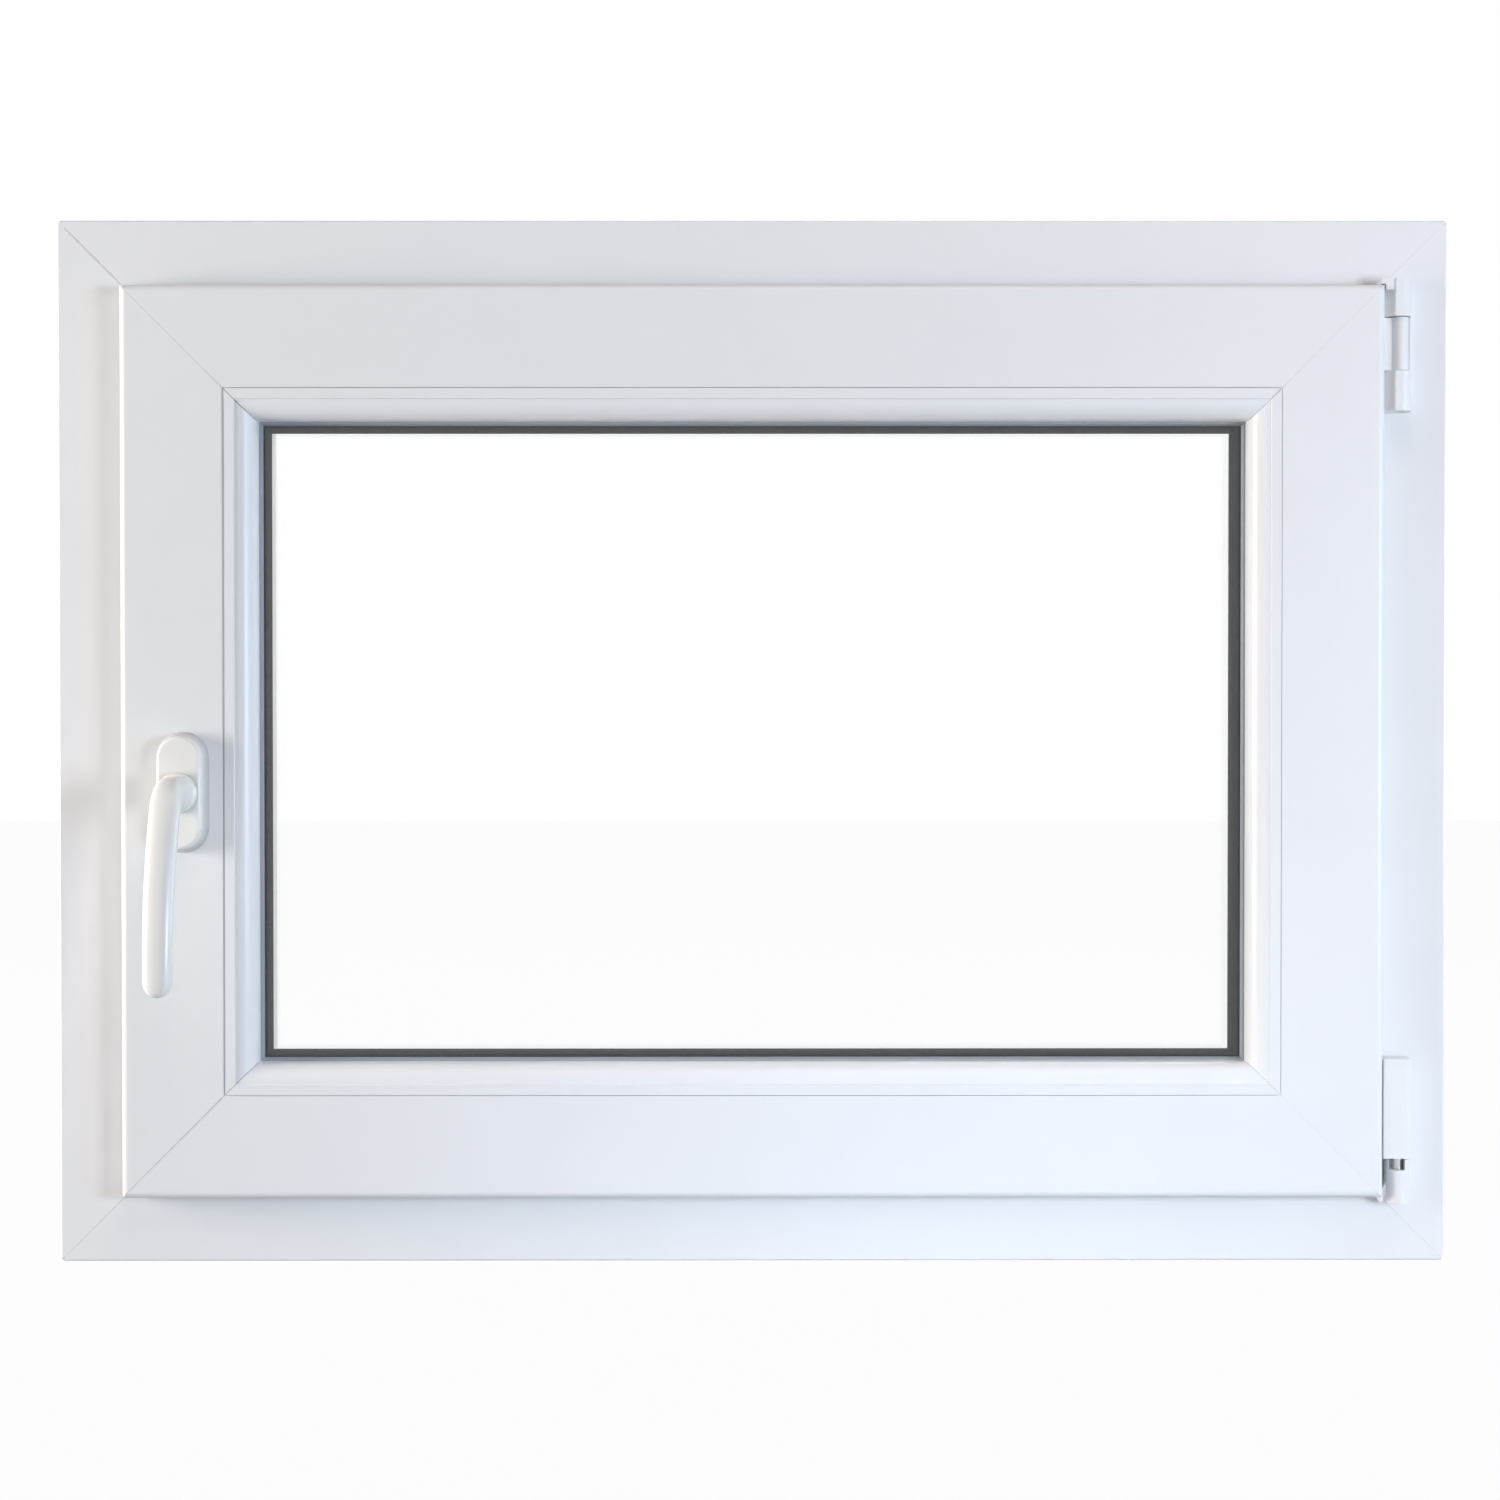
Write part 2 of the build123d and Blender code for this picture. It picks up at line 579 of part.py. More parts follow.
def drain_caps():
    """Hooded caps over the drain slots, open along the bottom."""
    caps = {}
    half = DRAIN_CAP_HEIGHT / 2
    profile = make_face(
        Polyline(
            (0, -half),
            (DRAIN_CAP_DEPTH, -half),
            (DRAIN_CAP_DEPTH, 0),
            (DRAIN_CAP_DEPTH / 3, half),
            (0, half),
            close=True,
        )
    )
    hood = extrude(Plane.YZ * profile, amount=DRAIN_CAP_LENGTH / 2, both=True)
    hood -= block(
        -DRAIN_SLOT_LENGTH / 2, DRAIN_SLOT_LENGTH / 2, 0, DRAIN_CAP_DEPTH / 2, -half, DRAIN_SLOT_HEIGHT / 2
    )
    for name, x in (("drain_cap_left", -DRAIN_SPACING / 2), ("drain_cap_right", DRAIN_SPACING / 2)):
        caps[name] = Pos(x, FRAME_OUT, DRAIN_HEIGHT) * hood
    return caps


def main():
    os.makedirs("parts", exist_ok=True)
    pieces = {}
    groups = (frame_pieces, sash_pieces, glazing_pieces, handle_pieces, upper_hinge, lower_hinge, drain_caps)
    for make in groups:
        pieces.update(make())
    for name, shape in pieces.items():
        export_step(shape, f"parts/{name}.step")


main()
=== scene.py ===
"""White PVC tilt-and-turn window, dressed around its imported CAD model, in metres."""

import math

import bmesh
import bpy
import numpy as np
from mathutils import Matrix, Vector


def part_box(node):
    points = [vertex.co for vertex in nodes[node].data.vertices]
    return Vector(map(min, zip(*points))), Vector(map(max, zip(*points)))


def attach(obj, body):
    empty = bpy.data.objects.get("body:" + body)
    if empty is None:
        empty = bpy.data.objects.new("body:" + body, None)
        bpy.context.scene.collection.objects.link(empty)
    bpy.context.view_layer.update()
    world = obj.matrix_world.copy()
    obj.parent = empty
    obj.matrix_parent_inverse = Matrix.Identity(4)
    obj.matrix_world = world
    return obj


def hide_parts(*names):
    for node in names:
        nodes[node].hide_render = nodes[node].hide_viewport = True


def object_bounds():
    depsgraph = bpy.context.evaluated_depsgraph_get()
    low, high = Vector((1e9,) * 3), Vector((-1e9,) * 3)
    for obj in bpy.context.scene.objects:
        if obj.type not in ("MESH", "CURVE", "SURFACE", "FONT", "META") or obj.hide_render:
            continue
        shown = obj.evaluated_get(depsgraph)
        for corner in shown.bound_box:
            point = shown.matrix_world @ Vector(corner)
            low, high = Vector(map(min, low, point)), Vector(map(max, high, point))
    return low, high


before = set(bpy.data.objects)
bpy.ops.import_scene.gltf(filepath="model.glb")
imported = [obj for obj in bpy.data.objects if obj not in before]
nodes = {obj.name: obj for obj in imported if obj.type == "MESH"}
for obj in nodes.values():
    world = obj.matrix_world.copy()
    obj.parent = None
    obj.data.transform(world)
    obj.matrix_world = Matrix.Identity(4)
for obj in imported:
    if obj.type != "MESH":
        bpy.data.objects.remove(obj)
cad_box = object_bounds()


# Outer frame: four hollow white PVC bars, extruded, sawn at 45 degrees and welded at the corners.
# The skin is smooth and half glossy, with faint drawing lines from the die along each bar.
EDGE_ANGLE = math.radians(35)


def soften(node):
    """Smooth shading on a CAD node's rounded faces: joined at their seams, split again at sharp edges,
    with normals weighted by face area so that broad flats stay flat."""
    piece = nodes[node]
    piece.data.shade_smooth()
    weld = piece.modifiers.new("seams", "WELD")
    weld.merge_threshold = 1e-6
    split = piece.modifiers.new("edges", "EDGE_SPLIT")
    split.split_angle = EDGE_ANGLE
    weighted = piece.modifiers.new("flats", "WEIGHTED_NORMAL")
    weighted.mode = "FACE_AREA"
    weighted.weight = 90


def dress(node, material):
    """Gives a CAD node its material and smooth shading."""
    piece = nodes[node]
    piece.data.materials.clear()
    piece.data.materials.append(material)
    soften(node)


def group_socket(group, name, kind, way, value=None):
    """Adds one named socket to a shader node group."""
    socket = group.interface.new_socket(name=name, in_out=way, socket_type=kind)
    if value is not None:
        socket.default_value = value


def extruded_skin():
    """Node group: faint die lines and haze on an extruded bar.

    Line noise is stretched along the bar by the Along vector (small number = long lines). Colour moves by
    Tone about the base, roughness by Haze about its middle, and Height carries the lines for a bump.
    """
    group = bpy.data.node_groups.new("extruded_skin", "ShaderNodeTree")
    group_socket(group, "Base", "NodeSocketColor", "INPUT", (0.8, 0.8, 0.8, 1))
    group_socket(group, "Along", "NodeSocketVector", "INPUT", (1, 1, 1))
    group_socket(group, "Tone", "NodeSocketFloat", "INPUT", 0.02)
    group_socket(group, "Rough", "NodeSocketFloat", "INPUT", 0.3)
    group_socket(group, "Haze", "NodeSocketFloat", "INPUT", 0.06)
    group_socket(group, "Color", "NodeSocketColor", "OUTPUT")
    group_socket(group, "Roughness", "NodeSocketFloat", "OUTPUT")
    group_socket(group, "Height", "NodeSocketFloat", "OUTPUT")
    tree, link = group.nodes, group.links.new
    source = tree.new("NodeGroupInput")
    sink = tree.new("NodeGroupOutput")
    place = tree.new("ShaderNodeTexCoord")
    stretch = tree.new("ShaderNodeVectorMath")
    stretch.operation = "MULTIPLY"
    link(place.outputs["Object"], stretch.inputs[0])
    link(source.outputs["Along"], stretch.inputs[1])
    lines = tree.new("ShaderNodeTexNoise")
    lines.inputs["Scale"].default_value = 900
    lines.inputs["Detail"].default_value = 3
    link(stretch.outputs[0], lines.inputs["Vector"])
    haze = tree.new("ShaderNodeTexNoise")
    haze.inputs["Scale"].default_value = 22
    haze.inputs["Detail"].default_value = 4
    link(place.outputs["Object"], haze.inputs["Vector"])
    tone = tree.new("ShaderNodeMapRange")
    tone.inputs["To Min"].default_value = -1
    tone.inputs["To Max"].default_value = 1
    link(haze.outputs["Fac"], tone.inputs["Value"])
    amount = tree.new("ShaderNodeMath")
    amount.operation = "MULTIPLY"
    link(tone.outputs[0], amount.inputs[0])
    link(source.outputs["Tone"], amount.inputs[1])
    shade = tree.new("ShaderNodeHueSaturation")
    level = tree.new("ShaderNodeMath")
    level.operation = "ADD"
    level.inputs[1].default_value = 1
    link(amount.outputs[0], level.inputs[0])
    link(level.outputs[0], shade.inputs["Value"])
    link(source.outputs["Base"], shade.inputs["Color"])
    link(shade.outputs["Color"], sink.inputs["Color"])
    swing = tree.new("ShaderNodeMath")
    swing.operation = "MULTIPLY_ADD"
    link(tone.outputs[0], swing.inputs[0])
    link(source.outputs["Haze"], swing.inputs[1])
    link(source.outputs["Rough"], swing.inputs[2])
    link(swing.outputs[0], sink.inputs["Roughness"])
    link(lines.outputs["Fac"], sink.inputs["Height"])
    return group


skin = extruded_skin()


def moulded(name, base, rough, along=(1, 1, 1), tone=0.015, haze=0.05, bump=0.00001, mirror=0.5):
    """Material of one bar or moulding: the skin group feeding colour, roughness and a fine bump."""
    material = bpy.data.materials.new(name)
    material.use_nodes = True
    tree, link = material.node_tree.nodes, material.node_tree.links.new
    shader = tree["Principled BSDF"]
    surface = tree.new("ShaderNodeGroup")
    surface.node_tree = skin
    surface.inputs["Base"].default_value = (*base, 1)
    surface.inputs["Along"].default_value = along
    surface.inputs["Tone"].default_value = tone
    surface.inputs["Rough"].default_value = rough
    surface.inputs["Haze"].default_value = haze
    shader.inputs["Specular IOR Level"].default_value = mirror
    relief = tree.new("ShaderNodeBump")
    relief.inputs["Distance"].default_value = bump
    relief.inputs["Strength"].default_value = 0.6
    link(surface.outputs["Color"], shader.inputs["Base Color"])
    link(surface.outputs["Roughness"], shader.inputs["Roughness"])
    link(surface.outputs["Height"], relief.inputs["Height"])
    link(relief.outputs["Normal"], shader.inputs["Normal"])
    return material


PVC_WHITE = (0.80, 0.81, 0.83)
PVC_ROUGH = 0.34
DIE_LINES_X = (0.01, 1, 1)
DIE_LINES_Z = (1, 1, 0.01)

pvc_across = moulded("pvc_across", PVC_WHITE, PVC_ROUGH, DIE_LINES_X)
pvc_upright = moulded("pvc_upright", PVC_WHITE, PVC_ROUGH, DIE_LINES_Z)
for name in ("frame_sill", "frame_head"):
    dress(name, pvc_across)
for name in ("frame_left_jamb", "frame_right_jamb"):
    dress(name, pvc_upright)


# Corner welds of the frame: the bars are melted together at 45 degrees and the bulge is planed off.
# The melt fills the groove flush with the face, and grey dust on the scraped seam shows as a faint line,
# plain at the left corners and hardly there at the right ones.
CORNERS = ((-1, -1), (-1, 1), (1, -1), (1, 1))
WINDOW_LOW, WINDOW_HIGH = np.array(cad_box[0]), np.array(cad_box[1])
FRAME_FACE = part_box("frame_sill")[0][1]
SASH_LOW = np.array(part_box("sash_handle_stile")[0])
SASH_EDGE = SASH_LOW[0] - WINDOW_LOW[0]
MELT_DEPTH = 0.00012
MELT_HALF = (0.00047, 0.00013)
MELT_SQUARE = 8
MELT_START = 0.0024
MELT_UNDER_SASH = 0.002
WELD_START = 0.0042
WELD_STEPS = 120
SEAM_HALF_HEIGHT = 0.00003
WELD_WIDTHS = {
    (-1, -1): (0.00016, 0.00021, 0.00030),
    (-1, 1): (0.00040, 0.00056, 0.00040),
    (1, -1): (0.00008, 0.00010, 0.00015),
    (1, 1): (0.00004, 0.00010, 0.00011),
}


def grid_faces(points):
    """Corner numbers of the quads between neighbouring points of a grid, joined end to start around."""
    rows, cols = points.shape[:2]
    index = np.arange(rows * cols).reshape(rows, cols)
    index = np.hstack([index, index[:, :1]])
    quads = np.stack([index[:-1, :-1], index[1:, :-1], index[1:, 1:], index[:-1, 1:]], axis=-1)
    return quads.reshape(-1, 4)


def surface_piece(name, grids, material, body="window"):
    """One piece from closed grids of points: poles and seams joined, faces turned outwards, smooth."""
    starts = np.cumsum([0] + [g.shape[0] * g.shape[1] for g in grids])
    points = np.vstack([g.reshape(-1, 3) for g in grids])
    faces = np.vstack([grid_faces(g) + s for g, s in zip(grids, starts)])
    mesh = bpy.data.meshes.new(name)
    mesh.from_pydata(points.tolist(), [], faces.tolist())
    joined = bmesh.new()
    joined.from_mesh(mesh)
    bmesh.ops.remove_doubles(joined, verts=joined.verts, dist=1e-7)
    bmesh.ops.recalc_face_normals(joined, faces=joined.faces)
    joined.to_mesh(mesh)
    joined.free()
    mesh.shade_smooth()
    mesh.materials.append(material)
    piece = bpy.data.objects.new(name, mesh)
    bpy.context.scene.collection.objects.link(piece)
    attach(piece, body)
    return piece


def mitre_line(inward, depth, corner):
    """Points on the 45 degree plane of a corner, each at one distance inwards from both outer edges."""
    side, end = corner
    x = side * (WINDOW_HIGH[0] - inward)
    z = np.where(end < 0, WINDOW_LOW[2] + inward, WINDOW_HIGH[2] - inward)
    return np.stack([x, depth + np.zeros_like(inward), z], axis=-1)


def rounded_power(value, power):
    """Sign-keeping power that turns a circle's sine or cosine into that of a rounded rectangle."""
    return np.sign(value) * np.abs(value) ** power


def seam(path, across, half_width, half_height, wander=0.3, square=2, sides=16):
    """A thin line along a path: at each point an ellipse (square 2) or a rounded rectangle (square above 2).
    It reaches half_width (one value, or one for each point) along the across direction and half_height
    square to it, and closes to a point at both ends. A sum of three sines makes the width wander."""
    run = np.linspace(0, 1, len(path))
    tangent = np.gradient(path, axis=0)
    tangent /= np.linalg.norm(tangent, axis=1, keepdims=True)
    lift = np.cross(tangent, across)
    swing = np.sin(23 * run + path[0, 0] * 40) + np.sin(57 * run + 2) + np.sin(91 * run + path[0, 2] * 30)
    taper = np.minimum(1, np.sqrt(np.maximum(0, 1 - np.abs(2 * run - 1) ** 40)))
    width = half_width * taper * (1 + wander * swing / 3)
    turn = np.linspace(0, 2 * np.pi, sides, endpoint=False)
    over = rounded_power(np.cos(turn), 2 / square)
    out = rounded_power(np.sin(turn), 2 / square)
    wide = width[:, None, None] * over[None, :, None] * across
    high = (half_height * taper)[:, None, None] * out[None, :, None] * lift[:, None, :]
    return path[:, None, :] + wide + high


def across_mitre(corner):
    """Direction in the face square to a corner's mitre."""
    side, end = corner
    return np.array([end, 0, -side]) / math.sqrt(2)


def along_widths(widths, count):
    """Width at each of count points, going evenly through the given ones from the outer to the inner end."""
    return np.interp(np.linspace(0, len(widths) - 1, count), np.arange(len(widths)), widths)


def frame_melt(corner):
    """Melt in the groove of one frame corner, flush with the face."""
    run = np.linspace(MELT_START, SASH_EDGE + MELT_UNDER_SASH, WELD_STEPS)
    line = mitre_line(run, FRAME_FACE + MELT_DEPTH, corner)
    return seam(line, across_mitre(corner), MELT_HALF[0], MELT_HALF[1], 0, MELT_SQUARE)


def frame_weld(corner):
    """Dust line of one frame corner, on the melt, from near the outer corner to the sash."""
    run = np.linspace(WELD_START, SASH_EDGE, WELD_STEPS)
    line = mitre_line(run, FRAME_FACE, corner)
    return seam(line, across_mitre(corner), along_widths(WELD_WIDTHS[corner], len(run)), SEAM_HALF_HEIGHT)


weld_line = moulded("weld_line", (0.58, 0.57, 0.585), 0.5, tone=0.08, haze=0.1)
surface_piece("frame_weld_melt", [frame_melt(c) for c in CORNERS], pvc_upright)
surface_piece("frame_weld_lines", [frame_weld(c) for c in CORNERS], weld_line)


# Seals between frame and sash: black rubber strips pressed into the outer stop and behind the overlap.
# They are one closed loop each, and show in the narrow gap round the sash.
rubber_black = moulded(
    "rubber_black", (0.014, 0.017, 0.019), 0.85, tone=0.2, haze=0.1, bump=0.00003, mirror=0.08
)
for name in ("frame_stop_seal", "sash_overlap_seal"):
    dress(name, rubber_black)


# Sash: four hollow PVC bars welded into a ring, standing 15 mm proud of the frame.
# The overlap edge towards the frame is rounded.
for name in ("sash_bottom_rail", "sash_top_rail"):
    dress(name, pvc_across)
for name in ("sash_handle_stile", "sash_hinge_stile"):
    dress(name, pvc_upright)


# Corner welds of the sash: melted and planed like those of the frame, over the face and the rounding.
# At the upper left corner the planing has left a small knob of PVC on the edge.
SASH_FACE = SASH_LOW[1]
SASH_ROUND = 0.004
WELD_SHORT_OF_BEAD = 0.0006
BEAD_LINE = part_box("bead_left")[0][0] - WINDOW_LOW[0]
SASH_WELD_WIDTHS = {
    (-1, -1): (0.00018, 0.00025, 0.00042, 0.00052),
    (-1, 1): (0.00010, 0.00013, 0.00017, 0.00024),
    (1, -1): (0.00005, 0.00005, 0.00005, 0.00005),
    (1, 1): (0.00006, 0.00006, 0.00006, 0.00010),
}


def sash_corner(corner, sunk):
    """Line over one sash corner, sunk below the skin: a quarter round over the edge, then straight
    to the bead."""
    bend = np.linspace(0, np.pi / 2, 30)
    inward = SASH_EDGE + SASH_ROUND - (SASH_ROUND - sunk) * np.cos(bend)
    depth = SASH_FACE + SASH_ROUND - (SASH_ROUND - sunk) * np.sin(bend)
    straight = np.linspace(SASH_EDGE + SASH_ROUND, BEAD_LINE - WELD_SHORT_OF_BEAD, 150)[1:]
    inward = np.concatenate([inward, straight])
    depth = np.concatenate([depth, np.full_like(straight, SASH_FACE + sunk)])
    return mitre_line(inward, depth, corner)


def sash_melt(corner):
    """Melt in the groove of one sash corner, flush with the skin."""
    line = sash_corner(corner, MELT_DEPTH)
    return seam(line, across_mitre(corner), MELT_HALF[0], MELT_HALF[1], 0, MELT_SQUARE)


def sash_weld(corner):
    """Dust line of one sash corner, on the melt."""
    line = sash_corner(corner, 0)
    widths = along_widths(SASH_WELD_WIDTHS[corner], len(line))
    return seam(line, across_mitre(corner), widths, SEAM_HALF_HEIGHT)


surface_piece("sash_weld_melt", [sash_melt(c) for c in CORNERS], pvc_upright)
surface_piece("sash_weld_lines", [sash_weld(c) for c in CORNERS], weld_line)
KNOB_PLACE = (-0.3593, SASH_FACE + 0.0030, 0.5600)
KNOB_HALF = (0.0011, 0.0016, 0.0013)


def knob(place, half, around=24):
    """Small egg: an ellipsoid of three half sizes about a place."""
    rise = np.linspace(-np.pi / 2, np.pi / 2, 13)[:, None]
    turn = np.linspace(0, 2 * np.pi, around, endpoint=False)
    x = place[0] + half[0] * np.cos(rise) * np.cos(turn)
    y = place[1] + half[1] * np.cos(rise) * np.sin(turn)
    z = place[2] + half[2] * np.sin(rise) + np.zeros_like(x)
    return np.stack([x, y, z], axis=-1)


surface_piece("sash_weld_knob", [knob(KNOB_PLACE, KNOB_HALF)], pvc_upright)


# Double glazing: two float glass panes, set on a black outer seal.
# The panes are clear and polished, with the faintest unevenness of their surface.
GLASS_CLEAR = (0.998, 1.0, 0.999)
GLASS_UNEVEN = 0.002
GLASS_ROUGH = 0.004
GLASS_MIRROR = 0.1


def float_glass():
    """Clear polished glass, its polish a little uneven by the skin group's haze."""
    material = bpy.data.materials.new("float_glass")
    material.use_nodes = True
    tree, link = material.node_tree.nodes, material.node_tree.links.new
    shader = tree["Principled BSDF"]
    surface = tree.new("ShaderNodeGroup")
    surface.node_tree = skin
    surface.inputs["Base"].default_value = (*GLASS_CLEAR, 1)
    surface.inputs["Tone"].default_value = GLASS_UNEVEN
    surface.inputs["Rough"].default_value = GLASS_ROUGH
    surface.inputs["Haze"].default_value = GLASS_ROUGH
    link(surface.outputs["Color"], shader.inputs["Base Color"])
    link(surface.outputs["Roughness"], shader.inputs["Roughness"])
    shader.inputs["IOR"].default_value = 1.5
    shader.inputs["Specular IOR Level"].default_value = GLASS_MIRROR
    shader.inputs["Transmission Weight"].default_value = 1
    return material


glass = float_glass()
for name in ("glass_room_pane", "glass_outer_pane"):
    dress(name, glass)
dress("glazing_seal_outer", rubber_black)


# Edge spacer: a black plastic bar, bent round the pane, that holds the two panes apart.
# It shows as a dark frame past the bead's lip. The unit sits a little left of the middle, so more of
# the spacer shows on the right.
SPACER_LOW, SPACER_HIGH = (np.array(c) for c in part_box("glass_spacer"))
SPACER_HEIGHT = 0.0168
SPACER_SHIFT = -0.0012
SPACER_ROUND = 0.0008


def spacer_bar(steps=6):
    """Rounded rectangle carried round the pane: at each of its points, as (height above the pane's edge,
    depth), the ring is a rectangle smaller by that height on every side."""
    half = np.array([SPACER_HEIGHT, SPACER_HIGH[1] - SPACER_LOW[1]]) / 2
    bend = np.linspace(0, 2 * np.pi, 4 * steps, endpoint=False) + np.pi / (4 * steps)
    out = np.stack([np.cos(bend), np.sin(bend)], axis=-1)
    line = half + np.sign(out) * (half - SPACER_ROUND) + SPACER_ROUND * out
    line = np.vstack([line, line[:1]])
    height, depth = line[:, :1], line[:, 1:]
    side, end = np.array([(-1, -1), (1, -1), (1, 1), (-1, 1)]).T
    centre, reach = (SPACER_LOW + SPACER_HIGH) / 2, (SPACER_HIGH - SPACER_LOW) / 2
    x = centre[0] + SPACER_SHIFT + side * (reach[0] - height)
    z = centre[2] + end * (reach[2] - height)
    return np.stack([x, SPACER_LOW[1] + depth + np.zeros_like(x), z], axis=-1)


spacer_black = moulded(
    "spacer_black", (0.012, 0.021, 0.025), 0.85, tone=0.25, haze=0.08, bump=0.00002, mirror=0.08
)
spacer = surface_piece("spacer_bar", [spacer_bar()], spacer_black, "window")
spacer_split = spacer.modifiers.new("edges", "EDGE_SPLIT")
spacer_split.split_angle = EDGE_ANGLE
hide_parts("glass_spacer")


# Glazing beads: four PVC strips clipped into the sash from the room, mitred at the corners.
# A grey soft lip is drawn together with the bead and presses on the glass.
for name in ("bead_bottom", "bead_top"):
    dress(name, pvc_across)
for name in ("bead_left", "bead_right"):
    dress(name, pvc_upright)
lip_grey = moulded("lip_grey", (0.30, 0.33, 0.37), 0.55, tone=0.08, haze=0.06)
dress("glazing_seal_room", lip_grey)


# Joint round the beads: each bead is pressed in beside the sash and leaves a narrow shadow gap.
# A near-black strip laid in that gap and in the mitres of the beads is painted shade; it draws a thin grey
# frame round the glass. A soft grey band beside the left joint is painted shade too.
JOINT_WIDTHS = {"left": 0.00034, "top": 0.00026, "right": 0.00016, "bottom": 0.00016}
JOINT_CORNERS = {"left": (0, 1), "top": (1, 3), "right": (3, 2), "bottom": (2, 0)}
JOINT_DEPTH = 0.00028
JOINT_HALF_HEIGHT = 0.00012
JOINT_WANDER = 0.12
MITRE_WIDTHS = {(-1, -1): 0.00032, (-1, 1): 0.00060, (1, -1): 0.00014, (1, 1): 0.00016}
MITRE_SUNK = 0.00006
MITRE_HALF_HEIGHT = 0.00010
MITRE_START = 0.15
BEAD_HIGH = np.array(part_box("bead_left")[1])
BEAD_INNER = BEAD_HIGH[0] - WINDOW_LOW[0]
BEAD_FLAT = 0.006
BEAD_STEP = 0.0009
BEAD_ROUND = 0.010
# Soft grey band of painted shade beside the left joint: its widths at the lower and upper ends, offset and
# wander.
PAINTED_SHADE_WIDTHS = (0.00036, 0.00066)
PAINTED_SHADE_INWARD = 0.0004
PAINTED_SHADE_WANDER = 0.1


def bead_joint(side):
    """Painted shadow line along one side of the beads, in the gap beside the sash, from one corner to the
    next.
    """
    inward, depth = np.array([BEAD_LINE]), SASH_FACE + JOINT_DEPTH
    start, end = (mitre_line(inward, depth, CORNERS[c])[0] for c in JOINT_CORNERS[side])
    path = np.linspace(start, end, 200)
    across = np.array([1, 0, 0]) if side in ("left", "right") else np.array([0, 0, 1])
    return seam(path, across, JOINT_WIDTHS[side], JOINT_HALF_HEIGHT, JOINT_WANDER)


def bead_mitre(corner):
    """Painted shadow line in the mitre of two beads: along the flat, over the small shoulder and down the
    quarter round, opening from a share of its width at the joint to its full width at the glass."""
    bend = np.linspace(0, np.pi / 2, 60)
    step = BEAD_LINE + BEAD_FLAT
    shoulder = BEAD_INNER - BEAD_ROUND
    inward = np.concatenate([
        np.linspace(BEAD_LINE, step, 20),
        np.linspace(step + BEAD_STEP / 2, shoulder, 10),
        shoulder + BEAD_ROUND * np.sin(bend)[1:],
    ])
    depth = np.concatenate([
        np.full(20, SASH_FACE),
        np.full(10, SASH_FACE + BEAD_STEP),
        SASH_FACE + BEAD_STEP + BEAD_ROUND * (1 - np.cos(bend))[1:],
    ])
    line = mitre_line(inward, depth + MITRE_SUNK, corner)
    opening = MITRE_WIDTHS[corner] * np.linspace(MITRE_START, 1, len(line))
    return seam(line, across_mitre(corner), opening, MITRE_HALF_HEIGHT)


def joint_painted_shade():
    """Soft broad line of painted shade beside the left joint, from the lower to the upper corner, widest at
    the top.
    """
    path = bead_joint("left").mean(axis=1) + np.array([PAINTED_SHADE_INWARD, 0, 0])
    path[:, 1] = SASH_FACE
    widths = along_widths(PAINTED_SHADE_WIDTHS, len(path))
    return seam(path, np.array([1, 0, 0]), widths, SEAM_HALF_HEIGHT, PAINTED_SHADE_WANDER)


# Painted shade: near-black strips laid in the gap beside the sash and in the bead mitres, where there is
# only shadow.
joint_shadow = moulded("joint_shadow", (0.09, 0.09, 0.10), 0.75, tone=0.2, haze=0.1)
# Painted shade: a soft grey band beside the left joint, standing in for the shading of the bead's rounded
# edge.
painted_shade_grey = moulded("painted_shade_grey", (0.40, 0.405, 0.43), 0.7, tone=0.1, haze=0.1)
surface_piece("bead_joint_line", [bead_joint(s) for s in JOINT_WIDTHS], joint_shadow)
surface_piece("bead_joint_painted_shade", [joint_painted_shade()], painted_shade_grey)
surface_piece("bead_mitre_lines", [bead_mitre(c) for c in CORNERS], joint_shadow)


# Rosette: a die-cast cover plate with round ends over the handle's two screws, snapped on to its base.
# Its sides are drawn in towards the front and its front edge is rounded; lacquered a warm white.
ROSETTE_LOW, ROSETTE_HIGH = (np.array(c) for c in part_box("handle_rosette"))
ROSETTE_DRAFT = math.radians(15)
ROSETTE_ROUND = 0.0017
HANDLE_X, HANDLE_Z = (ROSETTE_LOW + ROSETTE_HIGH)[[0, 2]] / 2


def stadium_plate(half_width, half_length, depth, draft, edge, around=128):
    """Plate with round ends. The edge line, as (distance drawn in, height), climbs the drafted side, bends
    over in an arc and runs to the middle line; at each of its points the outline is two half circles
    joined by straight sides, smaller by the distance drawn in."""
    bend = np.linspace(0, np.pi / 2 - draft, 12)
    top_in = depth * np.tan(draft)
    centre_in = top_in + edge * np.tan((np.pi / 2 - draft) / 2)
    arc_in = centre_in - edge * np.sin(np.pi / 2 - draft - bend)
    arc_up = depth - edge + edge * np.cos(np.pi / 2 - draft - bend)
    drawn = np.concatenate([[half_width, 0], arc_in, np.linspace(centre_in, half_width, 8)[1:]])
    height = np.concatenate([[0, 0], arc_up, np.full(7, depth)])
    turn = (np.arange(around) + 0.5) * 2 * np.pi / around
    radius = half_width - drawn[:, None]
    x = HANDLE_X + radius * np.cos(turn)
    z = HANDLE_Z + radius * np.sin(turn) + np.sign(np.sin(turn)) * (half_length - half_width)
    y = ROSETTE_HIGH[1] - height[:, None] + np.zeros_like(x)
    return np.stack([x, y, z], axis=-1)


lacquer = moulded("white_lacquer", (0.83, 0.825, 0.80), 0.24, tone=0.008, haze=0.03, bump=0.000004)
rosette_half = (ROSETTE_HIGH - ROSETTE_LOW) / 2
rosette = surface_piece("rosette_cover", [
    stadium_plate(rosette_half[0], rosette_half[2], 2 * rosette_half[1], ROSETTE_DRAFT, ROSETTE_ROUND)
], lacquer, "window")
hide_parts("handle_rosette")


